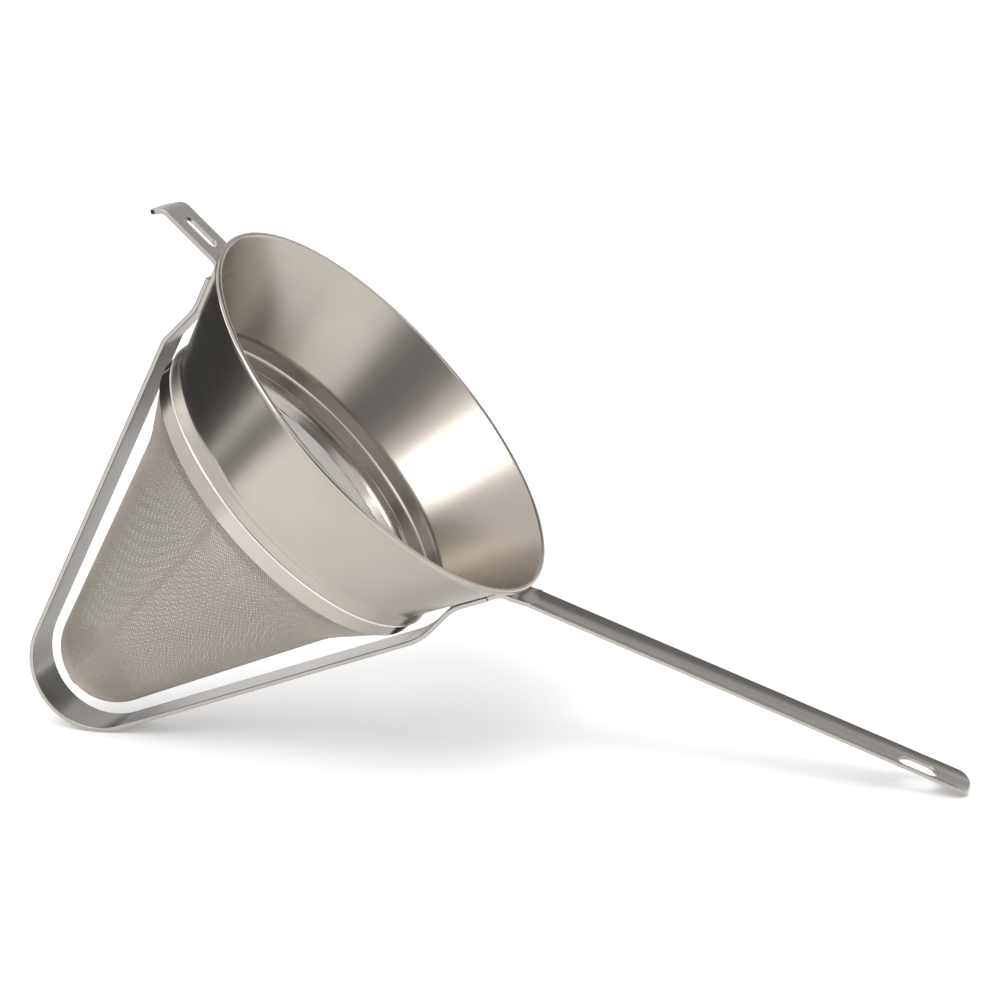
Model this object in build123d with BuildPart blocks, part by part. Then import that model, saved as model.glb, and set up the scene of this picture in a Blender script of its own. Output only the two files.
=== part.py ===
import os
from math import acos, asin, atan2, cos, degrees, hypot, radians, sin, sqrt, tan

from build123d import *

# A conical fine mesh strainer, in millimetres, lying the way it rests on a table: on the
# bottom of its guard bow and on the end of its handle. Every piece is drawn in the
# strainer's own axes, with x from the middle of the rim towards the handle and z out of the
# mouth. Those axes are then tilted into the resting pose, with the origin on the table.
# Depths are measured down from the middle of the rolled edge, into the strainer.

# Collar: a flared hoop of sheet with its edge rolled over a wire
rim_radius = 100.0
bead_diameter = 2.9
collar_sheet = 0.7
roll_clearance = 0.05
flare_depth = 44.2
collar_foot_radius = 79.2
collar_depth = 51.6
collar_bend_radius = 6.0
collar_edge_radius = 0.3

# Clamp rings, which hold the top of the mesh below the collar
outer_ring_radius = 78.8
outer_ring_sheet = 0.8
outer_ring_height = 7.6
outer_ring_edge_radius = 0.35
ring_clearance = 0.05
inner_ring_sheet = 0.6
inner_ring_edge_radius = 0.15
inner_lip_length = 6.2
inner_groove_drop = 5.4
inner_groove_radius = 0.3

# Mesh cone: one sheet of woven wire, rolled into a cone and lapped
mesh_sheet = 0.5
mesh_neck_length = 8.0
mesh_neck_bend_radius = 9.0
mesh_knee_radius = 61.6
mesh_knee_depth = 84.5
mesh_knee_bend_radius = 60.0
mesh_tip_radius = 26.1
mesh_tip_depth = 201.3
lap_width = 6.0
lap_sheet = 0.45
lap_end_margin = 4.0
lap_turn = -97.0

# Guard bow: a flat strip from one side of the collar to the other, round the tip of the mesh
guard_width = 22.0
guard_thickness = 2.1
guard_edge_radius = 0.5
guard_tip_radius = 32.3
guard_tip_depth = 217.6
guard_bend_reach = 87.8
guard_bend_depth = 54.1
guard_bend_radii = (30.0, 10.0)
guard_jog_radius = 18.0
guard_tab_tops = (17.7, 19.4)
guard_tab_bottom = 33.2

# Handle: a dished strip that slopes up from under the rolled edge
handle_width = 22.0
handle_thickness = 1.8
handle_dish = 2.5
handle_rise = 28.03
handle_seat_depth = 10.7
handle_reach = 211.6
handle_root_rise = 1.5
handle_root_radius = 6.0
handle_root_length = 5.0
handle_neck_length = 9.0
handle_corner_radius = 7.0
handle_edge_radius = 0.4
hang_slot_length = 17.4
hang_slot_width = 11.0
hang_slot_margin = 14.7

# Hook: a slotted tongue opposite the handle, which rests on the edge of a pot
hook_width = 24.5
hook_thickness = 2.2
hook_edge_radius = 0.4
hook_seat_depth = 9.9
hook_droop = 4.8
hook_slot_start = 2.3
hook_slot_length = 18.7
hook_slot_width = 8.0
hook_reach = 28.5
hook_root_radius = 3.0
hook_flap_length = 8.8
hook_flap_angle = 52.0
hook_bend_radius = 4.0
hook_corner_radius = 6.5

# Tabs of the handle and the hook, bent down on the collar, and the welds
tab_gap = 0.3
hook_tab_bottom = 31.5
weld_gap = 0.05
weld_radius = 2.0
weld_crown = 0.25
weld_spread = 6.2
handle_weld_depth = 14.2
hook_weld_depth = 15.4
guard_weld_depths = (23.2, 28.4)

# Overrun for cuts and for stock that a cut trims
overrun = 12.0

# Bead and flare: the wall's outer face runs past the wire and down to the foot
bead_radius = bead_diameter / 2
bead_centre = rim_radius - bead_radius
roll_radius = bead_radius - collar_sheet
flare_run = hypot(bead_centre - collar_foot_radius, flare_depth)
flare_lean = atan2(bead_centre - collar_foot_radius, flare_depth)
flare_angle = flare_lean - asin(roll_radius / flare_run)

# Handle line: the middle of the underside, from the rim's radius out to the end
handle_angle = radians(handle_rise)
handle_tip_x = rim_radius + handle_reach * cos(handle_angle)
handle_tip_z = handle_reach * sin(handle_angle) - handle_seat_depth

# Resting pose: the table touches the guard's tip and the rounded edge of the handle's end
guard_tip_centre = guard_tip_depth - guard_tip_radius
end_edge_x = handle_tip_x - handle_edge_radius * (cos(handle_angle) + sin(handle_angle))
end_edge_z = handle_tip_z + handle_edge_radius * (cos(handle_angle) - sin(handle_angle))
rest_span = hypot(end_edge_x, end_edge_z + guard_tip_centre)
rest_lean = acos((guard_tip_radius - handle_edge_radius) / rest_span)
tilt = radians(90) + atan2(end_edge_z + guard_tip_centre, end_edge_x) - rest_lean
rim_height = guard_tip_radius + guard_tip_centre * cos(tilt)

# Place along the table: the middle between the guard's back and the handle's end
guard_back = -guard_tip_centre * sin(tilt) - guard_tip_radius
end_face_rise = handle_thickness * sin(tilt - handle_angle)
handle_front = handle_tip_x * cos(tilt) + handle_tip_z * sin(tilt) + end_face_rise
rim_place = -(guard_back + handle_front) / 2

rim_plane = Plane(
    origin=(rim_place, 0, rim_height),
    x_dir=(cos(tilt), 0, -sin(tilt)),
    z_dir=(sin(tilt), 0, cos(tilt)),
)
strainer_axis = Axis(rim_plane.origin, rim_plane.z_dir)


def resting(plane):
    # A plane given in the strainer's own axes, tilted into the resting pose
    return Plane(rim_plane.location * plane.location)


def profile_plane(turn=0):
    # Upright plane through the axis, for points (distance from the axis, height above the rim)
    x_dir = (cos(radians(turn)), sin(radians(turn)), 0)
    z_dir = (sin(radians(turn)), -cos(radians(turn)), 0)
    return resting(Plane(origin=(0, 0, 0), x_dir=x_dir, z_dir=z_dir))


def wall_radius(depth):
    # Outer face of the flared wall at a depth
    return collar_foot_radius + (flare_depth - depth) * tan(flare_angle)


def wall_plane(depth, turn):
    # Plane that touches the wall's outer face at a depth and a turn about the axis
    across = (cos(turn), sin(turn))
    radius = wall_radius(depth)
    return resting(
        Plane(
            origin=(radius * across[0], radius * across[1], -depth),
            x_dir=(-across[1], across[0], 0),
            z_dir=(cos(flare_angle) * across[0], cos(flare_angle) * across[1], -sin(flare_angle)),
        )
    )


def weld_planes(side, depths):
    # Two welds in a row at each depth, on the handle's side (0) or the hook's side (180)
    planes = []
    for depth in depths:
        spread = asin(weld_spread / wall_radius(depth))
        planes.append(wall_plane(depth, radians(side) - spread))
        planes.append(wall_plane(depth, radians(side) + spread))
    return planes


def weld_lift(depth):
    # How far a flat tab stands off the round wall at its welds
    return wall_radius(depth) - sqrt(wall_radius(depth) ** 2 - weld_spread**2)


def wall_point(depth, offset):
    # A point off the wall at a depth, in profile
    return (wall_radius(depth) + offset / cos(flare_angle), -depth)


def wall_corner(point, lean):
    # Where a strip's upper face, through a point and rising outwards, meets the tab's inner face
    foot = wall_point(0, weld_gap)[0]
    start = point[1] - point[0] * tan(lean)
    x = (foot + start * tan(flare_angle)) / (1 - tan(lean) * tan(flare_angle))
    return (x, start + x * tan(lean))


def sheet_corner(x, z, lean_above, lean_below, inset):
    # Where a bend's corner lies on a face set in towards the axis by inset
    middle = (lean_above + lean_below) / 2
    reach = inset / cos((lean_below - lean_above) / 2)
    return (x - reach * cos(middle), z + reach * sin(middle))


# Collar
roll_start = 180 - degrees(flare_angle)
roll_sweep = 360 - degrees(acos((roll_radius - roll_clearance) / bead_radius))
with BuildPart() as collar:
    with BuildSketch(profile_plane()):
        with BuildLine():
            roll_outside = CenterArc((bead_centre, 0), bead_radius, roll_start, -roll_sweep)
            roll_inside = CenterArc((bead_centre, 0), roll_radius, roll_start, -roll_sweep)
            Line(roll_outside @ 1, roll_inside @ 1)
            FilletPolyline(
                roll_outside @ 0,
                sheet_corner(collar_foot_radius, -flare_depth, flare_angle, 0, collar_sheet),
                (collar_foot_radius - collar_sheet, -collar_depth),
                (collar_foot_radius, -collar_depth),
                (collar_foot_radius, -flare_depth),
                roll_inside @ 0,
                radius=(
                    collar_bend_radius + collar_sheet,
                    0,
                    collar_edge_radius,
                    collar_bend_radius,
                ),
            )
        make_face()
    revolve(axis=strainer_axis)
collar.part.label = "collar"

# Rim wire, inside the rolled edge
with BuildPart() as rim_wire:
    with BuildSketch(profile_plane()):
        with Locations((bead_centre, 0)):
            Circle(roll_radius - roll_clearance)
    revolve(axis=strainer_axis)
rim_wire.part.label = "rim_wire"

# Outer clamp ring, which the collar's foot stands on
outer_ring_bore = outer_ring_radius - outer_ring_sheet
outer_ring_bottom = collar_depth + outer_ring_height
with BuildPart() as outer_ring:
    with BuildSketch(profile_plane()):
        with BuildLine():
            FilletPolyline(
                (outer_ring_bore, -collar_depth),
                (outer_ring_radius, -collar_depth),
                (outer_ring_radius, -outer_ring_bottom),
                (outer_ring_bore, -outer_ring_bottom),
                radius=(0, 0, outer_ring_edge_radius, 0),
                close=True,
            )
        make_face()
    revolve(axis=strainer_axis)
outer_ring.part.label = "outer_ring"

# Mesh cone: its neck lies inside the outer ring, and its tip is a part of a sphere
neck_radius = outer_ring_bore - ring_clearance
neck_bottom = collar_depth + mesh_neck_length
shoulder_lean = atan2(neck_radius - mesh_knee_radius, mesh_knee_depth - neck_bottom)
tip_centre = mesh_tip_depth - mesh_tip_radius
tip_span = hypot(mesh_knee_radius, tip_centre - mesh_knee_depth)
cone_lean = atan2(mesh_knee_radius, tip_centre - mesh_knee_depth) - asin(mesh_tip_radius / tip_span)


def neck_corner(inset):
    return sheet_corner(neck_radius, -neck_bottom, 0, shoulder_lean, inset)


def tip_seam(inset):
    # Where the straight cone runs into the round tip
    radius = mesh_tip_radius - inset
    return (radius * cos(cone_lean), -tip_centre - radius * sin(cone_lean))


def mesh_side(inset, end):
    # The mesh's side in profile, from its top edge down to an end point
    return FilletPolyline(
        (neck_radius - inset, -collar_depth - ring_clearance),
        neck_corner(inset),
        sheet_corner(mesh_knee_radius, -mesh_knee_depth, shoulder_lean, cone_lean, inset),
        end,
        radius=(mesh_neck_bend_radius - inset, mesh_knee_bend_radius + inset),
    )


def mesh_profile(inset):
    # Everything inside one face of the mesh, from the side to the axis
    side = mesh_side(inset, tip_seam(inset))
    centre = (0, -tip_centre)
    tip = CenterArc(centre, mesh_tip_radius - inset, -degrees(cone_lean), degrees(cone_lean) - 90)
    Polyline(tip @ 1, (0, -collar_depth - ring_clearance), side @ 0)


lap_end = (
    tip_seam(0)[0] + lap_end_margin * sin(cone_lean),
    tip_seam(0)[1] + lap_end_margin * cos(cone_lean),
)
lap_out = (cos(cone_lean) * lap_sheet, -sin(cone_lean) * lap_sheet)
lap_sweep = 2 * degrees(asin(lap_width / lap_end[0]))
with BuildPart() as lap_slab:
    with BuildSketch(profile_plane(lap_turn + 90)):
        with Locations((0, -outer_ring_bottom)):
            Rectangle(lap_width, 2 * mesh_tip_depth, align=(Align.CENTER, Align.MAX))
    extrude(amount=rim_radius)
with BuildPart() as lap:
    with BuildSketch(profile_plane(lap_turn - lap_sweep / 2)):
        with BuildLine():
            outside = mesh_side(-lap_sheet, (lap_end[0] + lap_out[0], lap_end[1] + lap_out[1]))
            inside = mesh_side(0, lap_end)
            Line(outside @ 0, inside @ 0)
            Line(outside @ 1, inside @ 1)
        make_face()
    revolve(axis=strainer_axis, revolution_arc=lap_sweep)
    add(lap_slab.part, mode=Mode.INTERSECT)
with BuildPart() as mesh_cone:
    with BuildSketch(profile_plane()):
        with BuildLine():
            mesh_profile(0)
        make_face()
        with BuildLine():
            mesh_profile(mesh_sheet)
        make_face(mode=Mode.SUBTRACT)
    revolve(axis=strainer_axis)
    add(lap.part)
mesh_cone.part.label = "mesh_cone"

# Inner clamp ring: a flange over the mesh's edge, a grooved wall and a lip that follows the mesh
lip_outside = mesh_sheet + ring_clearance
lip_inside = lip_outside + inner_ring_sheet
ledge = inner_ring_sheet - collar_depth
flange_radius = collar_foot_radius - collar_sheet - ring_clearance


def lip_end(inset):
    corner = neck_corner(inset)
    return (
        corner[0] - inner_lip_length * sin(shoulder_lean),
        corner[1] - inner_lip_length * cos(shoulder_lean),
    )


with BuildPart() as inner_ring:
    with BuildSketch(profile_plane()):
        with BuildLine():
            FilletPolyline(
                (neck_radius - lip_inside, ledge),
                neck_corner(lip_inside),
                lip_end(lip_inside),
                lip_end(lip_outside),
                neck_corner(lip_outside),
                (neck_radius - lip_outside, -collar_depth),
                (flange_radius, -collar_depth),
                (flange_radius, ledge),
                radius=(
                    inner_ring_edge_radius,
                    mesh_neck_bend_radius - lip_inside,
                    inner_ring_edge_radius,
                    inner_ring_edge_radius,
                    mesh_neck_bend_radius - lip_outside,
                    0,
                    0,
                    0,
                ),
                close=True,
            )
        make_face()
        with Locations((neck_radius - lip_inside, ledge - inner_groove_drop)):
            Circle(inner_groove_radius, mode=Mode.SUBTRACT)
    revolve(axis=strainer_axis)
inner_ring.part.label = "inner_ring"

# Guard bow: a tab just below the handle's, a jog that frees the leg, the tip, and a tab over the hook's
guard_span = hypot(guard_bend_reach, guard_tip_centre - guard_bend_depth)
guard_lean = atan2(guard_bend_reach, guard_tip_centre - guard_bend_depth)
guard_lean -= asin(guard_tip_radius / guard_span)


def guard_leg(side, tab_top, below, bend_radius):
    # Outer face from a tab's top to the round tip, with what lies below the tab
    offset = below + weld_gap + guard_thickness
    top = wall_point(tab_top, offset)
    bottom = wall_point(guard_tab_bottom, offset)
    return FilletPolyline(
        (side * top[0], top[1]),
        (side * bottom[0], bottom[1]),
        (side * guard_bend_reach, -guard_bend_depth),
        (
            side * guard_tip_radius * cos(guard_lean),
            -guard_tip_centre - guard_tip_radius * sin(guard_lean),
        ),
        radius=(guard_jog_radius, bend_radius),
    )


below_guard = (0, weld_gap + hook_thickness)
with BuildPart() as guard_bow:
    with BuildSketch(profile_plane()):
        with BuildLine():
            handle_leg = guard_leg(1, guard_tab_tops[0], below_guard[0], guard_bend_radii[0])
            hook_leg = guard_leg(-1, guard_tab_tops[1], below_guard[1], guard_bend_radii[1])
            ThreePointArc(handle_leg @ 1, (0, -guard_tip_depth), hook_leg @ 1)
            offset(amount=guard_thickness, side=Side.RIGHT)
        make_face()
    extrude(amount=guard_width / 2, both=True)
    sides = faces().filter_by(Axis.Y)
    fillet(sides.edges(), guard_edge_radius)
    for weld_plane in weld_planes(0, guard_weld_depths) + weld_planes(180, guard_weld_depths):
        with BuildSketch(weld_plane):
            Circle(weld_radius + weld_gap)
        extrude(amount=overrun, both=True, mode=Mode.SUBTRACT)
guard_bow.part.label = "guard_bow"

# Handle: a flat root that is bent off the collar, a neck, and the dished strip
handle_plan = Plane(
    origin=(handle_tip_x, 0, handle_tip_z),
    x_dir=(cos(handle_angle), 0, sin(handle_angle)),
    z_dir=(-sin(handle_angle), 0, cos(handle_angle)),
)


def handle_point(reach, lift):
    # A point of the profile, out along the underside and up from it
    return (
        rim_radius + reach * cos(handle_angle) - lift * sin(handle_angle),
        reach * sin(handle_angle) + lift * cos(handle_angle) - handle_seat_depth,
    )


def handle_section(reach):
    # Plane across the handle
    x, z = handle_point(reach, 0)
    return resting(
        Plane(origin=(x, 0, z), x_dir=(0, 1, 0), z_dir=(cos(handle_angle), 0, sin(handle_angle)))
    )


def dished_outline():
    # The strip's section, with its edges raised by the dish
    edge = handle_width / 2
    top = handle_dish + handle_thickness
    underside = ThreePointArc((-edge, handle_dish), (0, 0), (edge, handle_dish))
    topside = ThreePointArc((-edge, top), (0, handle_thickness), (edge, top))
    Line(underside @ 0, topside @ 0)
    Line(underside @ 1, topside @ 1)


handle_tab_bottom = guard_tab_tops[0] - (weld_gap + guard_thickness) * sin(flare_angle) - tab_gap
handle_root_top = handle_root_rise + handle_thickness
handle_corner = wall_corner(handle_point(0, handle_root_top), handle_angle)
corner_reach = (handle_corner[0] - handle_point(0, handle_root_top)[0]) / cos(handle_angle)
root_end = corner_reach + handle_root_length
neck_end = root_end + handle_neck_length
with BuildPart() as handle:
    with BuildSketch(handle_section(neck_end)):
        with BuildLine():
            dished_outline()
        make_face()
    extrude(amount=handle_reach - neck_end)
    with BuildSketch(resting(handle_plan)):
        Rectangle(handle_reach, handle_width, align=(Align.MAX, Align.CENTER))
        fillet(vertices().group_by(Axis.X)[-1], handle_corner_radius)
        with Locations((-hang_slot_margin - hang_slot_length / 2, 0)):
            SlotOverall(hang_slot_length, hang_slot_width, mode=Mode.SUBTRACT)
    extrude(amount=overrun, both=True, mode=Mode.INTERSECT)
    root = faces().sort_by(Axis.X)[0]
    broad = faces().sort_by(SortBy.AREA)[-2:]
    fillet(broad.edges() - root.edges(), handle_edge_radius)
    with BuildSketch(handle_section(root_end)):
        with Locations((0, handle_root_rise)):
            Rectangle(handle_width, handle_thickness, align=(Align.CENTER, Align.MIN))
    with BuildSketch(handle_section(neck_end)):
        with BuildLine():
            dished_outline()
        make_face()
    loft()
    with BuildSketch(profile_plane()):
        with BuildLine():
            FilletPolyline(
                wall_point(handle_tab_bottom, weld_gap),
                handle_corner,
                handle_point(root_end, handle_root_top),
                radius=handle_root_radius + handle_thickness,
            )
            offset(amount=handle_thickness, side=Side.RIGHT)
        make_face()
    extrude(amount=handle_width / 2, both=True)
    for weld_plane in weld_planes(0, (handle_weld_depth,)):
        with BuildSketch(weld_plane):
            Circle(weld_radius + weld_gap)
        extrude(amount=overrun / 2, both=True, mode=Mode.SUBTRACT)
handle.part.label = "handle"

# Hook: a tab on the collar, the slotted strap and its flap, in profile on the side away from the handle
droop = radians(hook_droop)
flap_lean = radians(hook_droop + hook_flap_angle)
hook_bend = (rim_radius + hook_reach, -hook_seat_depth - hook_reach * tan(droop))
flap_end = (
    hook_bend[0] + hook_flap_length * cos(flap_lean),
    hook_bend[1] - hook_flap_length * sin(flap_lean),
)
with BuildPart() as hook:
    with BuildSketch(profile_plane(180)):
        with BuildLine():
            FilletPolyline(
                wall_point(hook_tab_bottom, weld_gap),
                wall_corner((rim_radius, -hook_seat_depth), -droop),
                hook_bend,
                flap_end,
                radius=(hook_root_radius + hook_thickness, hook_bend_radius + hook_thickness),
            )
            offset(amount=hook_thickness, side=Side.RIGHT)
        make_face()
    extrude(amount=hook_width / 2, both=True)
    slot_middle = hook_slot_start + hook_slot_length / 2
    hook_plan = Plane(
        origin=(-rim_radius - slot_middle, 0, -hook_seat_depth - slot_middle * tan(droop)),
        x_dir=(-cos(droop), 0, -sin(droop)),
        z_dir=(-sin(droop), 0, cos(droop)),
    )
    with BuildSketch(resting(hook_plan)):
        SlotOverall(hook_slot_length, hook_slot_width)
    extrude(amount=2 * hook_thickness, both=True, mode=Mode.SUBTRACT)
    flap_normal = (-sin(flap_lean), 0, cos(flap_lean))
    flap_axis = Axis(rim_plane.origin, resting(Plane(origin=(0, 0, 0), z_dir=flap_normal)).z_dir)
    fillet(edges().filter_by(flap_axis), hook_corner_radius)
    fillet(edges(), hook_edge_radius)
    for weld_plane in weld_planes(180, (hook_weld_depth, *guard_weld_depths)):
        with BuildSketch(weld_plane):
            Circle(weld_radius + weld_gap)
        extrude(amount=overrun / 2, both=True, mode=Mode.SUBTRACT)
hook.part.label = "hook"

# Plug welds, a group for each piece: on the hook's side the guard's go through the hook's tab as well
with BuildPart() as guard_welds:
    for depth in guard_weld_depths:
        outside = weld_lift(depth) + weld_gap + guard_thickness + weld_crown
        for side, below in zip((0, 180), below_guard):
            for weld_plane in weld_planes(side, (depth,)):
                with BuildSketch(weld_plane):
                    Circle(weld_radius)
                extrude(amount=below + outside)
guard_welds.part.label = "guard_welds"
with BuildPart() as handle_welds:
    for weld_plane in weld_planes(0, (handle_weld_depth,)):
        with BuildSketch(weld_plane):
            Circle(weld_radius)
        extrude(amount=weld_lift(handle_weld_depth) + weld_gap + handle_thickness + weld_crown)
handle_welds.part.label = "handle_welds"
with BuildPart() as hook_welds:
    for weld_plane in weld_planes(180, (hook_weld_depth,)):
        with BuildSketch(weld_plane):
            Circle(weld_radius)
        extrude(amount=weld_lift(hook_weld_depth) + weld_gap + hook_thickness + weld_crown)
hook_welds.part.label = "hook_welds"

os.makedirs("parts", exist_ok=True)
export_step(collar.part, "parts/collar.step")
export_step(rim_wire.part, "parts/rim_wire.step")
export_step(outer_ring.part, "parts/outer_ring.step")
export_step(inner_ring.part, "parts/inner_ring.step")
export_step(mesh_cone.part, "parts/mesh_cone.step")
export_step(guard_bow.part, "parts/guard_bow.step")
export_step(handle.part, "parts/handle.step")
export_step(hook.part, "parts/hook.step")
export_step(guard_welds.part, "parts/guard_welds.step")
export_step(handle_welds.part, "parts/handle_welds.step")
export_step(hook_welds.part, "parts/hook_welds.step")

print("tilt of the mouth from level:", round(degrees(tilt), 3))
print("rim centre at x", round(rim_place, 3), "z", round(rim_height, 3))
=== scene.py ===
import itertools
import math

import bpy
import numpy as np
from mathutils import Matrix, Vector


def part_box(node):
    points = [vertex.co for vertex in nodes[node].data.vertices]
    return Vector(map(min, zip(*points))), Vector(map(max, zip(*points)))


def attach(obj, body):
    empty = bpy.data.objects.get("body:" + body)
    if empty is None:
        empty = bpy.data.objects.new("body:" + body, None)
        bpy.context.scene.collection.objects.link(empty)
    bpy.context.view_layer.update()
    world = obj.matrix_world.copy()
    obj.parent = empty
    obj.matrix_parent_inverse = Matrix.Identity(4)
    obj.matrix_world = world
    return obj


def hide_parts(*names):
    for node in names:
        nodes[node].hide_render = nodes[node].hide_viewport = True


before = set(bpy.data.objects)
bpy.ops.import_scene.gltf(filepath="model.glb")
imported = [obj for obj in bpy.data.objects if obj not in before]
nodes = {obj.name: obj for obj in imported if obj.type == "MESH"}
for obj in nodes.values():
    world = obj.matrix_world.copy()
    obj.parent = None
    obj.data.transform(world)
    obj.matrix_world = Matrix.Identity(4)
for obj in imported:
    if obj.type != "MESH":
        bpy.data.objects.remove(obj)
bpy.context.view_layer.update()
mm = 0.001


# Axes of the strainer: its mouth is tilted about Y, and the hidden rim wire shows where it is

rimWire = {
    "thickness": 1.4 * mm,
}


def strainerAxes():
    low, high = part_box("rim_wire")
    half = (high - low) / 2
    radius = rimWire["thickness"] / 2
    tilt = math.atan2(half.z - radius, half.x - radius)
    return Matrix.Translation((low + high) / 2) @ Matrix.Rotation(tilt, 4, "Y")


mouth = strainerAxes()
print("frame loaded, mouth tilted by", round(math.degrees(mouth.to_euler().y), 2), "degrees")


# Colours and nodes

def linear(hexColour):
    channels = [int(hexColour[i:i + 2], 16) / 255 for i in (1, 3, 5)]
    channels = [c / 12.92 if c <= 0.04045 else ((c + 0.055) / 1.055) ** 2.4 for c in channels]
    return (*channels, 1)


def newMaterial(name):
    material = bpy.data.materials.new(name)
    material.use_nodes = True
    material.node_tree.nodes.clear()
    return material


def addNode(tree, kind, settings=None, links=None):
    # settings give properties or input sockets by name, links give the output that feeds an input
    node = tree.nodes.new(kind)
    for key, value in (settings or {}).items():
        if hasattr(node, str(key)) and not isinstance(key, int):
            setattr(node, key, value)
        else:
            node.inputs[key].default_value = value
    for key, socket in (links or {}).items():
        tree.links.new(socket, node.inputs[key])
    return node


def dress(name, material):
    mesh = nodes[name].data
    mesh.materials.clear()
    mesh.materials.append(material)


def addPiece(name, vertices, faces, material):
    mesh = bpy.data.meshes.new(name)
    mesh.from_pydata(vertices, [], faces)
    mesh.materials.append(material)
    piece = bpy.data.objects.new(name, mesh)
    bpy.context.scene.collection.objects.link(piece)
    return piece


# Where a pattern runs: round the strainer's axis, or along a strip that is as wide as Y

def ringPlace(tree):
    place = addNode(tree, "ShaderNodeTexCoord").outputs["Object"]
    return addNode(tree, "ShaderNodeMapping", {
        "vector_type": "TEXTURE",
        "Location": mouth.translation,
        "Rotation": mouth.to_euler(),
    }, {"Vector": place}).outputs["Vector"]


def stripPlace(tree):
    place = addNode(tree, "ShaderNodeTexCoord").outputs["Object"]
    return addNode(tree, "ShaderNodeMapping", {
        "Rotation": (math.pi / 2, 0, 0),
    }, {"Vector": place}).outputs["Vector"]


def addSpecks(tree, look, place, colour):
    # small dark marks from use, one in each cell of a cell pattern
    cells = addNode(tree, "ShaderNodeTexVoronoi", {"Scale": 1 / look["speckSpacing"]}, {"Vector": place})
    size = look["speckSize"] / look["speckSpacing"]
    speck = addNode(tree, "ShaderNodeMapRange", {
        "From Min": size * 0.5,
        "From Max": size,
        "To Min": 1.0,
        "To Max": 0.0,
    }, {"Value": cells.outputs["Distance"]})
    return addNode(tree, "ShaderNodeMix", {
        "data_type": "RGBA",
        7: linear(look["speckColour"]),
    }, {0: speck.outputs["Result"], 6: colour}).outputs[2]


def polishRim(tree, look, place, roughness):
    # smoother where the sheet lies further out than the wall ever does, so only on the rolled edge
    flat = addNode(tree, "ShaderNodeVectorMath", {"operation": "MULTIPLY", 1: (1, 1, 0)}, {0: place})
    radius = addNode(tree, "ShaderNodeVectorMath", {"operation": "LENGTH"}, {0: flat.outputs["Vector"]})
    onRim = addNode(tree, "ShaderNodeMapRange", {
        "From Min": look["rimRadius"],
        "From Max": look["rimRadius"] + look["rimFade"],
    }, {"Value": radius.outputs["Value"]})
    return addNode(tree, "ShaderNodeMix", {3: look["rimRoughness"]}, {
        0: onRim.outputs["Result"],
        2: roughness,
    }).outputs[0]


def brushedSteel(name, look, whereFrom):
    # grit lines are close together along Z and long across it, clouds are as wide as they are high
    material = newMaterial(name)
    tree = material.node_tree
    place = whereFrom(tree)
    across, along = 1 / look["gritSpacing"], 1 / look["gritLength"]
    stretched = addNode(tree, "ShaderNodeMapping", {"Scale": (along, along, across)}, {"Vector": place})
    grit = addNode(tree, "ShaderNodeTexNoise", {
        "Scale": 1.0,
        "Detail": 3.0,
        "Roughness": 0.6,
    }, {"Vector": stretched.outputs["Vector"]})
    clouds = addNode(tree, "ShaderNodeTexNoise", {
        "Scale": 1 / look["cloudSize"],
        "Detail": 4.0,
        "Roughness": 0.55,
    }, {"Vector": place})
    tint = addNode(tree, "ShaderNodeMix", {
        "data_type": "RGBA",
        6: linear(look["colour"]),
        7: linear(look["dullColour"]),
    }, {0: clouds.outputs["Fac"]})
    roughness = addNode(tree, "ShaderNodeMapRange", {
        "From Min": 0.25,
        "From Max": 0.75,
        "To Min": look["roughness"] - look["roughnessSpread"],
        "To Max": look["roughness"] + look["roughnessSpread"],
    }, {"Value": grit.outputs["Fac"]})
    bump = addNode(tree, "ShaderNodeBump", {
        "Strength": 1.0,
        "Distance": look["gritDepth"],
    }, {"Height": grit.outputs["Fac"]})
    colourOut, roughnessOut = tint.outputs[2], roughness.outputs["Result"]
    if "speckSpacing" in look:
        colourOut = addSpecks(tree, look, place, colourOut)
    if "rimRadius" in look:
        roughnessOut = polishRim(tree, look, place, roughnessOut)
    surface = addNode(tree, "ShaderNodeBsdfPrincipled", {
        "Metallic": 1.0,
    }, {
        "Base Color": colourOut,
        "Roughness": roughnessOut,
        "Normal": bump.outputs["Normal"],
    })
    addNode(tree, "ShaderNodeOutputMaterial", links={"Surface": surface.outputs["BSDF"]})
    return material


# Spun stainless sheet, satin from the polishing belt: soft wide highlights, hardly a line to see

spunSheet = {
    "colour": "#bfb9b2",
    "dullColour": "#aaa299",
    "roughness": 0.25,
    "roughnessSpread": 0.012,
    "rimRoughness": 0.1,  # the rolled edge is rubbed brighter than the wall
    "rimRadius": 97.2 * mm,
    "rimFade": 0.3 * mm,
    "speckSpacing": 16 * mm,
    "speckSize": 0.5 * mm,
    "speckColour": "#6f675e",
    "gritSpacing": 0.7 * mm,  # real grit lines are under 0.1 mm apart, drawn coarser to show
    "gritLength": 120 * mm,
    "gritDepth": 0.0005 * mm,
    "cloudSize": 45 * mm,
}

spunSteel = brushedSteel("spunSatinStainless", spunSheet, ringPlace)
for name in ("collar", "rim_wire"):
    dress(name, spunSteel)


# Polished stainless hoop: close to a mirror, so it shows a dark band beside a bright line

polishedHoop = {
    "colour": "#c4beb7",
    "dullColour": "#b7b0a8",
    "roughness": 0.13,
    "roughnessSpread": 0.03,
    "gritSpacing": 0.8 * mm,
    "gritLength": 25 * mm,
    "gritDepth": 0.004 * mm,
    "cloudSize": 9 * mm,
}

hoopSteel = brushedSteel("polishedStainlessHoop", polishedHoop, ringPlace)
dress("outer_ring", hoopSteel)


# Tumbled stainless strip, brushed along its length: greyer and duller than the sheet

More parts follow.
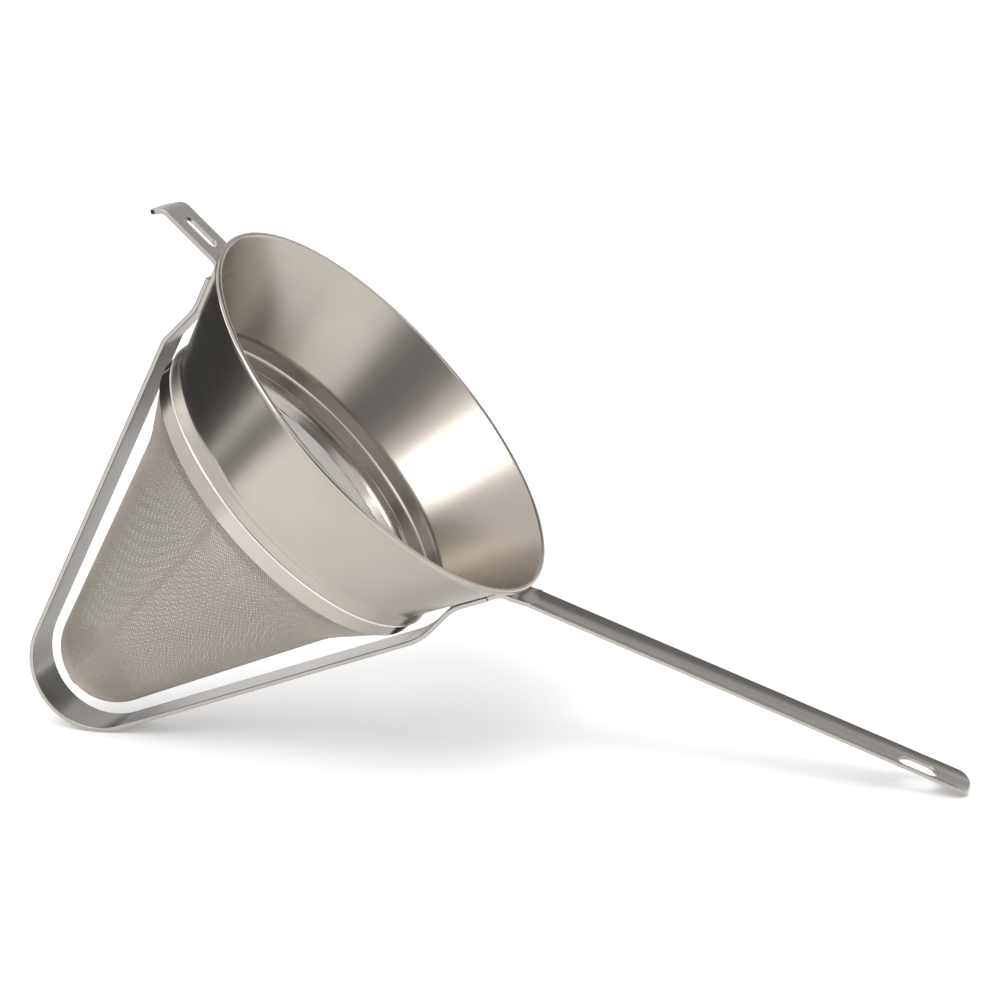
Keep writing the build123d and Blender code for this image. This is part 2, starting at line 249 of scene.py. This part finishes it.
tumbledStrip = {
    "colour": "#bab6b0",
    "dullColour": "#aca7a1",
    "roughness": 0.24,
    "roughnessSpread": 0.03,
    "gritSpacing": 0.7 * mm,  # real grit lines are finer, drawn coarser to show
    "gritLength": 30 * mm,
    "gritDepth": 0.002 * mm,
    "cloudSize": 20 * mm,
}

stripSteel = brushedSteel("tumbledStainlessStrip", tumbledStrip, stripPlace)
for name in ("guard_bow", "handle", "hook"):
    dress(name, stripSteel)


# Weld metal, ground flush: duller and a little darker, with the marks of the grinding disc

groundWeld = {
    "colour": "#a8a198",
    "dullColour": "#8f877d",
    "roughness": 0.42,
    "roughnessSpread": 0.06,
    "gritSpacing": 0.5 * mm,
    "gritLength": 3 * mm,
    "gritDepth": 0.02 * mm,
    "cloudSize": 2 * mm,
}

weldSteel = brushedSteel("groundWeld", groundWeld, stripPlace)
for name in ("guard_welds", "handle_welds", "hook_welds"):
    dress(name, weldSteel)


# Drawn stainless wire: bare and bright on each crown, darker in the gaps of the weave

drawnWire = {
    "colour": "#cac4bc",
    "dullColour": "#b6afa6",
    "roughness": 0.5,
    "roughnessSpread": 0.05,
    "gritSpacing": 2 * mm,
    "gritLength": 2 * mm,
    "gritDepth": 0.001 * mm,
    "cloudSize": 30 * mm,
}

wireSteel = brushedSteel("drawnStainlessWire", drawnWire, ringPlace)


# Turned stainless ring: the tool's marks run round it as fine dark and light rings

turnedRing = {
    "colour": "#c3bdb6",
    "dullColour": "#a7a098",
    "roughness": 0.2,
    "roughnessSpread": 0.06,
    "gritSpacing": 0.7 * mm,  # real tool marks are finer, drawn coarser to show
    "gritLength": 70 * mm,
    "gritDepth": 0.014 * mm,
    "cloudSize": 14 * mm,
}

turnedSteel = brushedSteel("turnedStainlessRing", turnedRing, ringPlace)
dress("inner_ring", turnedSteel)


# Painted highlight: a near-white metal, lighter than the stainless beside it, so that a thin edge draws a
# fine bright line

paintedHighlightEdge = {
    "colour": "#fbfaf8",
    "dullColour": "#eeebe7",
    "roughness": 0.32,
    "roughnessSpread": 0.05,
    "gritSpacing": 0.6 * mm,
    "gritLength": 9 * mm,
    "gritDepth": 0.004 * mm,
    "cloudSize": 12 * mm,
}

highlightSteel = brushedSteel("paintedHighlightStainless", paintedHighlightEdge, ringPlace)
print("materials done")


# Woven wire cone, plain weave, cut as one sector of flat cloth, rolled up and lapped

wireCloth = {
    "neckRadius": 77.95,
    "neckTop": 51.65,
    "neckBottom": 59.6,
    "neckBend": 9.0,
    "kneeRadius": 61.6,
    "kneeDepth": 84.5,
    "kneeBend": 60.0,
    "tipRadius": 26.1,
    "tipDepth": 201.3,
    "inset": 0.25,  # middle of the cloth, in from the outer face
    "lapTurn": -97.0,
    "lapHalf": 1.6,
    "lapFade": 0.5,  # share of lapHalf over which the cloth comes down again beside the lap
    "lapRise": 0.42,
    "lapTop": 60.5,
    "pitch": 1.0,  # the real cloth is about twice as fine, drawn coarser so that single wires show
    "wireTurn": 70.0,  # the wires cross the seam at this angle
    "wireWidth": 0.52,
    "wireHeight": 0.3,
    "crimp": 0.15,
    "tangentStep": 0.05,  # share of the pitch over which a wire's heading is taken
    "sectorMargin": 0.5,  # radians round the cut sector in which a crossing may lie
    "sections": 3,
    "samples": 40,
}


def roundedCorner(before, corner, after, radius):
    # Arc points that round a corner of the profile
    towardsBefore = (before - corner) / np.linalg.norm(before - corner)
    towardsAfter = (after - corner) / np.linalg.norm(after - corner)
    half = math.acos(np.dot(towardsBefore, towardsAfter)) / 2
    bisector = towardsBefore + towardsAfter
    centre = corner + bisector / np.linalg.norm(bisector) * radius / math.sin(half)
    start = corner + towardsBefore * radius / math.tan(half)
    end = corner + towardsAfter * radius / math.tan(half)
    fromStart, fromEnd = start - centre, end - centre
    steps = np.linspace(0, 1, wireCloth["samples"])[:, None]
    sweep = math.pi - 2 * half
    return centre + (
        fromStart * np.sin((1 - steps) * sweep) + fromEnd * np.sin(steps * sweep)
    ) / math.sin(sweep)


def clothProfile():
    # Points (radius, depth) down the cloth, from its clamped edge to the middle of the tip
    look = wireCloth
    tipCentre = look["tipDepth"] - look["tipRadius"]
    drop = tipCentre - look["kneeDepth"]
    lean = math.atan2(look["kneeRadius"], drop)
    lean -= math.asin(look["tipRadius"] / math.hypot(look["kneeRadius"], drop))
    top = np.array((look["neckRadius"], look["neckTop"]))
    neck = np.array((look["neckRadius"], look["neckBottom"]))
    knee = np.array((look["kneeRadius"], look["kneeDepth"]))
    seam = np.array((math.cos(lean), math.sin(lean))) * look["tipRadius"] + (0, tipCentre)
    turns = np.linspace(lean, math.pi / 2, look["samples"])[1:]
    cap = np.stack((np.cos(turns), np.sin(turns)), 1) * look["tipRadius"] + (0, tipCentre)
    points = np.concatenate((
        [top],
        roundedCorner(top, neck, knee, look["neckBend"]),
        roundedCorner(neck, knee, seam, look["kneeBend"]),
        [seam],
        cap,
    ))
    along = np.gradient(points, axis=0)
    along /= np.linalg.norm(along, axis=1)[:, None]
    outward = np.stack((along[:, 1], -along[:, 0]), 1)
    return points - outward * look["inset"], outward, lean


def clothMap():
    # How far each profile point lies from the apex on the flat cloth: true on the cone and above it
    points, outward, lean = clothProfile()
    share = math.sin(lean)
    steps = np.linalg.norm(np.diff(points, axis=0), axis=1)
    run = np.concatenate(([0], np.cumsum(steps)))
    capStart = len(points) - wireCloth["samples"]
    flat = points[capStart, 0] / share + run[capStart] - run
    flat[capStart:] = points[capStart:, 0] / share
    order = np.argsort(flat)
    return flat[order], points[order], outward[order], share


flatRun, profile, profileOut, coneShare = clothMap()


def onCone(x, y):
    # Where a point of the flat cloth lies on the cone, and the way out of the cone there
    look = wireCloth
    reach = np.hypot(x, y)
    turn = np.arctan2(y, x)
    radius = np.interp(reach, flatRun, profile[:, 0])
    depth = np.interp(reach, flatRun, profile[:, 1])
    out = np.interp(reach, flatRun, profileOut[:, 0])
    down = np.interp(reach, flatRun, profileOut[:, 1])
    # the cut edge at the start lies on top of the other end
    onTop = np.clip((1 + look["lapFade"] - y / look["lapHalf"]) / look["lapFade"], 0, 1) * (x > 0)
    onTop *= np.clip((depth - look["lapTop"]) / look["lapHalf"], 0, 1)
    rise = look["lapRise"] * onTop
    angle = math.radians(look["lapTurn"]) + turn / coneShare
    radius = radius + rise * out
    places = np.stack((radius * np.cos(angle), radius * np.sin(angle), -depth - rise * down), -1)
    normals = np.stack((out * np.cos(angle), out * np.sin(angle), -down), -1)
    return places, normals


def unit(vectors):
    return vectors / np.maximum(np.linalg.norm(vectors, axis=-1, keepdims=True), 1e-9)


def wireTubes(x, y, over, inside, along):
    # Four-sided tubes through the crossings, along the first or the second axis of the grid
    look = wireCloth
    places, normals = onCone(x, y)
    turn = math.radians(look["wireTurn"]) + along * math.pi / 2
    stepX = look["tangentStep"] * look["pitch"] * math.cos(turn)
    stepY = look["tangentStep"] * look["pitch"] * math.sin(turn)
    tangents = unit(onCone(x + stepX, y + stepY)[0] - onCone(x - stepX, y - stepY)[0])
    sideways = unit(np.cross(normals, tangents))
    centres = places + normals * (over * look["crimp"])[..., None]
    wide = sideways * look["wireWidth"] / 2
    high = normals * look["wireHeight"] / 2
    rings = np.stack((centres + wide, centres + high, centres - wide, centres - high), 2)
    number = np.cumsum(inside.ravel()).reshape(inside.shape) - 1
    near = (slice(None, -1), slice(None)) if along == 0 else (slice(None), slice(None, -1))
    far = (slice(1, None), slice(None)) if along == 0 else (slice(None), slice(1, None))
    linked = inside[near] & inside[far]
    first, second = number[near][linked] * 4, number[far][linked] * 4
    faces = [
        np.stack((first + k, second + k, second + (k + 1) % 4, first + (k + 1) % 4), 1)
        for k in range(4)
    ]
    return rings[inside].reshape(-1, 3), np.concatenate(faces)


def clothGrid():
    # Crossings of the wires on the flat cloth, kept where they lie inside the cut sector
    look = wireCloth
    reach = flatRun.max()
    count = int(reach / look["pitch"]) + 1
    i, j = np.meshgrid(*[np.arange(-count, count + 1)] * 2, indexing="ij")
    along, across = (i + 0.5) * look["pitch"], (j + 0.5) * look["pitch"]
    turn = math.radians(look["wireTurn"])
    x = along * math.cos(turn) - across * math.sin(turn)
    y = along * math.sin(turn) + across * math.cos(turn)
    sector = 2 * math.pi * coneShare
    beyond = y * math.cos(sector) - x * math.sin(sector)
    heading, margin = np.arctan2(y, x), look["sectorMargin"]
    inside = (np.hypot(x, y) < reach) & (beyond < look["lapHalf"]) & (y > -look["lapHalf"])
    inside &= (heading > -margin) & (heading < sector + margin)
    over = np.where((i + j) % 2 == 0, 1.0, -1.0)
    return x, y, over, inside


def weaveCone():
    x, y, over, inside = clothGrid()
    toWorld = np.array(mouth @ Matrix.Scale(mm, 4))
    sections = wireCloth["sections"]
    pieces = []
    for along, name in ((0, "weftWires"), (1, "warpWires")):
        vertices, faces = wireTubes(x, y, -over if along else over, inside, along)
        vertices = vertices @ toWorld[:3, :3].T + toWorld[:3, 3]
        section = faces.max(1) * sections // len(vertices)
        for number in range(sections):
            chosen = faces[section == number]
            used, local = np.unique(chosen, return_inverse=True)
            piece = addPiece(name + str(number + 1), vertices[used], local.reshape(-1, 4), wireSteel)
            piece.data.shade_smooth()
            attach(piece, "root")
            pieces.append(piece)
            print(piece.name, len(chosen), "faces")
    for piece in pieces:
        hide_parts("mesh_cone")


weaveCone()
print("woven wire done")


# Fine work on the collar's foot: the raised edge where the hoop begins, a faint line above it, and
# inside the line where the foot meets the inner ring's flange. The raised edge and the flange line
# are in the near-white metal, a painted highlight that draws them as bright lines

footWork = {
    "footEdge": {"radius": 79.32, "depth": 51.35, "thickness": 0.9, "material": highlightSteel},
    "footLine": {"radius": 79.2, "depth": 46.4, "thickness": 0.16, "material": spunSteel},
    "flangeLine": {"radius": 78.2, "depth": 50.8, "thickness": 0.9, "material": highlightSteel},
}
footMesh = {
    "segments": 192,
    "sides": 10,
}


def roundEdge(name, radius, depth, thickness, material):
    # A thin ring of wire size round the axis, half sunk in the sheet
    turns = np.arange(footMesh["segments"]) * 2 * math.pi / footMesh["segments"]
    rolls = np.arange(footMesh["sides"]) * 2 * math.pi / footMesh["sides"]
    turn, roll = np.meshgrid(turns, rolls, indexing="ij")
    out = radius + thickness / 2 * np.cos(roll)
    places = np.stack((out * np.cos(turn), out * np.sin(turn), thickness / 2 * np.sin(roll) - depth), -1)
    toWorld = np.array(mouth @ Matrix.Scale(mm, 4))
    vertices = places.reshape(-1, 3) @ toWorld[:3, :3].T + toWorld[:3, 3]
    number = np.arange(len(vertices)).reshape(turn.shape)
    ahead, above = np.roll(number, -1, 0), np.roll(number, -1, 1)
    diagonal = np.roll(ahead, -1, 1)
    faces = np.stack((number, ahead, diagonal, above), -1).reshape(-1, 4)
    edge = addPiece(name, vertices, faces, material)
    edge.data.shade_smooth()
    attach(edge, "root")


for name, look in footWork.items():
    roundEdge(name, **look)
print("collar foot done")


# On the inside of the wall each weld shows as a flat button with a rounded edge

backMarks = {
    "topRadius": 96.95,
    "footRadius": 78.42,
    "footDepth": 44.2,
    "depths": {0: (14.2, 23.2, 28.4), 180: (15.4, 23.2, 28.4)},  # on the handle's side, on the hook's side
    "spread": 6.2,
    "rings": ((1.7, 0.0), (1.7, 0.08), (1.36, 0.12)),  # radius and height of each ring of points
    "segments": 24,
}


def weldMarks():
    look, count = backMarks, backMarks["segments"]
    slope = math.atan2(look["topRadius"] - look["footRadius"], look["footDepth"])
    toWorld = mouth @ Matrix.Scale(mm, 4)
    vertices, faces = [], []
    for side, depths in look["depths"].items():
        for depth, spread in itertools.product(depths, (-look["spread"], look["spread"])):
            radius = look["footRadius"] + (look["footDepth"] - depth) * math.tan(slope)
            turn = math.radians(side) + math.asin(spread / radius)
            centre = Matrix.Rotation(turn, 4, "Z") @ Matrix.Translation((radius, 0, -depth))
            place = toWorld @ centre @ Matrix.Rotation(slope - math.pi / 2, 4, "Y")
            start = len(vertices)
            for (size, lift), k in itertools.product(look["rings"], range(count)):
                angle = 2 * math.pi * k / count
                vertices.append(place @ Vector((size * math.cos(angle), size * math.sin(angle), lift)))
            for ring, k in itertools.product((0, 1), range(count)):
                low, ahead = start + ring * count, (k + 1) % count
                faces.append((low + k, low + ahead, low + count + ahead, low + count + k))
            faces.append(tuple(start + 2 * count + k for k in range(count)))
    marks = addPiece("weldMarks", vertices, faces, weldSteel)
    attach(marks, "root")


weldMarks()
print("weld marks done")


# Stage: a white floor that keeps the shadow, a white surround, two soft lamps, a weak sun, and cards
# that only gloss sees. Azimuths and elevations are in degrees round the middle, distances in metres

stage = {
    "middle": (0.0, 0.0, 0.12),
    "floorSize": 8.0,
    "floorColour": "#ececec",
    "floorGlow": 0.2,  # plain white that the camera sees on top of the lit floor
    "worldColour": "#ffffff",
    "worldStrength": 0.94,
    "cardLift": 0.003,
    "sunDistance": 2.0,
}
lamps = {
    "softBox": {"azimuth": -22, "elevation": 50, "distance": 1.5, "size": (0.9, 0.7), "power": 6},
    "sideBox": {"azimuth": -82, "elevation": 32, "distance": 1.5, "size": (0.9, 0.35), "power": 2.2},
}
sun = {"name": "shadowSun", "azimuth": 6, "elevation": 64, "spread": 26, "power": 0.55}
paperColours = {
    "blackCard": "#3a3a3a",
    "darkCard": "#828282",
    "greyCard": "#c6c6c6",
    "coalCard": "#666666",
}
standingCards = {
    "leftCard": {
        "azimuth": -108, "elevation": 7, "distance": 0.75, "size": (1.05, 0.42), "paper": "blackCard",
    },
    "frontCard": {
        "azimuth": 26, "elevation": 8, "distance": 1.5, "size": (1.7, 1.1), "paper": "darkCard",
    },
    "backCard": {
        "azimuth": 148, "elevation": 60, "distance": 1.5, "size": (1.6, 1.0), "paper": "darkCard",
    },
    "farCard": {
        "azimuth": -170, "elevation": 26, "distance": 1.7, "size": (2.6, 1.1), "paper": "greyCard",
    },
    "tipCard": {
        "azimuth": -167.5, "elevation": -4, "distance": 0.28, "size": (0.16, 0.2), "paper": "coalCard",
    },
}
lyingCards = {
    "guardCard": {"x": -0.19, "y": 0.28, "size": (0.15, 0.46), "paper": "greyCard"},
    "leftLowCard": {"x": -0.55, "y": -0.1, "size": (0.3, 0.6), "paper": "coalCard"},
}


def seenWhite(tree):
    # the camera, gloss and glass all see the surround as white
    path = addNode(tree, "ShaderNodeLightPath").outputs
    gloss = addNode(tree, "ShaderNodeMath", {"operation": "MAXIMUM"}, {
        0: path["Is Glossy Ray"],
        1: path["Is Transmission Ray"],
    })
    return addNode(tree, "ShaderNodeMath", {"operation": "MAXIMUM"}, {
        0: path["Is Camera Ray"],
        1: gloss.outputs[0],
    }).outputs[0]


def floorMaterial():
    material = newMaterial("whiteSweep")
    tree = material.node_tree
    glow = addNode(tree, "ShaderNodeMath", {
        "operation": "MULTIPLY",
        1: stage["floorGlow"],
    }, {0: seenWhite(tree)})
    paper = addNode(tree, "ShaderNodeBsdfDiffuse", {"Color": linear(stage["floorColour"])})
    white = addNode(tree, "ShaderNodeEmission", {"Color": (1, 1, 1, 1)}, {"Strength": glow.outputs[0]})
    both = addNode(tree, "ShaderNodeAddShader", links={
        0: paper.outputs["BSDF"],
        1: white.outputs["Emission"],
    })
    addNode(tree, "ShaderNodeOutputMaterial", links={"Surface": both.outputs["Shader"]})
    return material


def buildFloor():
    half = stage["floorSize"] / 2
    corners = [(-half, -half, 0), (half, -half, 0), (half, half, 0), (-half, half, 0)]
    addPiece("floor", corners, [(0, 1, 2, 3)], floorMaterial())


def buildWorld():
    world = bpy.data.worlds.new("studio")
    world.use_nodes = True
    bpy.context.scene.world = world
    tree = world.node_tree
    tree.nodes.clear()
    light = addNode(tree, "ShaderNodeBackground", {
        "Color": linear(stage["worldColour"]),
        "Strength": stage["worldStrength"],
    })
    white = addNode(tree, "ShaderNodeBackground", {"Color": (1, 1, 1, 1)})
    mixed = addNode(tree, "ShaderNodeMixShader", links={
        0: seenWhite(tree),
        1: light.outputs["Background"],
        2: white.outputs["Background"],
    })
    addNode(tree, "ShaderNodeOutputWorld", links={"Surface": mixed.outputs["Shader"]})


def aimed(holder, azimuth, elevation, distance):
    # Azimuth 0 is in front of the strainer, 90 is on its right
    turn, lift = math.radians(azimuth), math.radians(elevation)
    away = Vector((math.sin(turn) * math.cos(lift), -math.cos(turn) * math.cos(lift), math.sin(lift)))
    holder.location = Vector(stage["middle"]) + away * distance
    holder.rotation_euler = away.to_track_quat("Z", "Y").to_euler()


def addLamp(name, azimuth, elevation, distance, size, power):
    lamp = bpy.data.lights.new(name, "AREA")
    lamp.shape = "RECTANGLE"
    lamp.size, lamp.size_y = size
    lamp.energy = power
    holder = bpy.data.objects.new(name, lamp)
    bpy.context.scene.collection.objects.link(holder)
    aimed(holder, azimuth, elevation, distance)


def addSun(name, azimuth, elevation, spread, power):
    # Draws the shadows where the strainer touches the floor, and makes no highlight on the metal
    lamp = bpy.data.lights.new(name, "SUN")
    lamp.angle = math.radians(spread)
    lamp.energy = power
    holder = bpy.data.objects.new(name, lamp)
    bpy.context.scene.collection.objects.link(holder)
    holder.visible_glossy = False
    aimed(holder, azimuth, elevation, stage["sunDistance"])


def cardMaterial(name, colour):
    material = newMaterial(name)
    tree = material.node_tree
    paper = addNode(tree, "ShaderNodeBsdfDiffuse", {"Color": linear(colour)})
    addNode(tree, "ShaderNodeOutputMaterial", links={"Surface": paper.outputs["BSDF"]})
    return material


def addCard(name, azimuth, elevation, distance, size, paper):
    # A card that only gloss sees, as a photographer puts beside bright metal
    wide, high = size[0] / 2, size[1] / 2
    corners = [(-wide, -high, 0), (wide, -high, 0), (wide, high, 0), (-wide, high, 0)]
    card = addPiece(name, corners, [(0, 1, 2, 3)], papers[paper])
    aimed(card, azimuth, elevation, distance)
    card.visible_camera = False
    card.visible_diffuse = False
    card.visible_shadow = False
    return card


def layCard(name, x, y, size, paper):
    # The same card lying on the floor, for metal that looks down
    card = addCard(name, 0, 0, 0, size, paper)
    card.location = (x, y, stage["cardLift"])
    card.rotation_euler = (0, 0, 0)


buildFloor()
buildWorld()
for name, look in lamps.items():
    addLamp(name, **look)
addSun(**sun)
papers = {name: cardMaterial(name, colour) for name, colour in paperColours.items()}
for name, look in standingCards.items():
    addCard(name, **look)
for name, look in lyingCards.items():
    layCard(name, **look)
print("stage set")


# Camera: a long lens, a little above the strainer and a little to its right

cameraView = {
    "aim": (8.10 * mm, 0.0, 117.66 * mm),
    "distance": 1176.66 * mm,
    "azimuth": 14.9187,
    "elevation": 14.0924,
    "roll": -0.6371,
    "lens": 97.2,
    "sensor": 36.0,
}


def buildCamera():
    camera = bpy.data.cameras.new("camera")
    camera.lens = cameraView["lens"]
    camera.sensor_width = cameraView["sensor"]
    holder = bpy.data.objects.new("camera", camera)
    bpy.context.scene.collection.objects.link(holder)
    turn = Matrix.Rotation(math.radians(cameraView["azimuth"]), 4, "Z")
    lift = Matrix.Rotation(math.radians(90 - cameraView["elevation"]), 4, "X")
    roll = Matrix.Rotation(math.radians(cameraView["roll"]), 4, "Z")
    back = Matrix.Translation((0, 0, cameraView["distance"]))
    holder.matrix_world = Matrix.Translation(cameraView["aim"]) @ turn @ lift @ roll @ back
    bpy.context.scene.camera = holder


buildCamera()
bpy.context.scene.view_settings.view_transform = "Standard"
